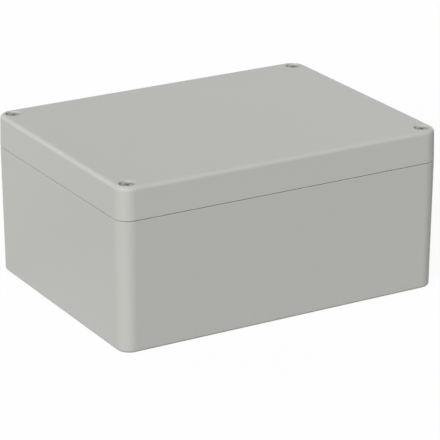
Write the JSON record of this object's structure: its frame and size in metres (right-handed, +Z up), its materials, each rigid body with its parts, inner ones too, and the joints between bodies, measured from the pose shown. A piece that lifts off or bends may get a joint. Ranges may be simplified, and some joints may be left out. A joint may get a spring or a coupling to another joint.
{
  "type": "plastic enclosure",
  "caption": "Rectangular sealed plastic enclosure: a deep base and a shallow screw-down lid with a gasket, for housing electronics.",
  "frame": {"origin": "middle of the underside, on the surface that the box stands on", "axes": "+X along the long sides, +Y along the short sides, +Z up through the lid"},
  "size_m": [0.2, 0.1506, 0.0933],
  "materials": {
    "moulded_plastic": "light warm grey, fine satin moulding",
    "gasket_foam": "soft beige-grey sealing strip",
    "screw_steel": "plated steel"
  },
  "bodies": {
    "base": {"base": "moulded_plastic"},
    "lid": {"lid": "moulded_plastic", "gasket": "gasket_foam"},
    "screw_front_left": {"lid_screw_front_left": "screw_steel"},
    "screw_front_right": {"lid_screw_front_right": "screw_steel"},
    "screw_rear_left": {"lid_screw_rear_left": "screw_steel"},
    "screw_rear_right": {"lid_screw_rear_right": "screw_steel"}
  },
  "joints": [
    {"name": "lid_lift", "type": "slide", "parent": "base", "child": "lid", "axis": [0, 0, 1], "range_m": [0, 0.12]},
    {"name": "screw_front_left_out", "type": "slide", "parent": "lid", "child": "screw_front_left", "axis": [0, 0, 1], "range_m": [0, 0.017]},
    {"name": "screw_front_right_out", "type": "slide", "parent": "lid", "child": "screw_front_right", "axis": [0, 0, 1], "range_m": [0, 0.017]},
    {"name": "screw_rear_left_out", "type": "slide", "parent": "lid", "child": "screw_rear_left", "axis": [0, 0, 1], "range_m": [0, 0.017]},
    {"name": "screw_rear_right_out", "type": "slide", "parent": "lid", "child": "screw_rear_right", "axis": [0, 0, 1], "range_m": [0, 0.017]}
  ]
}
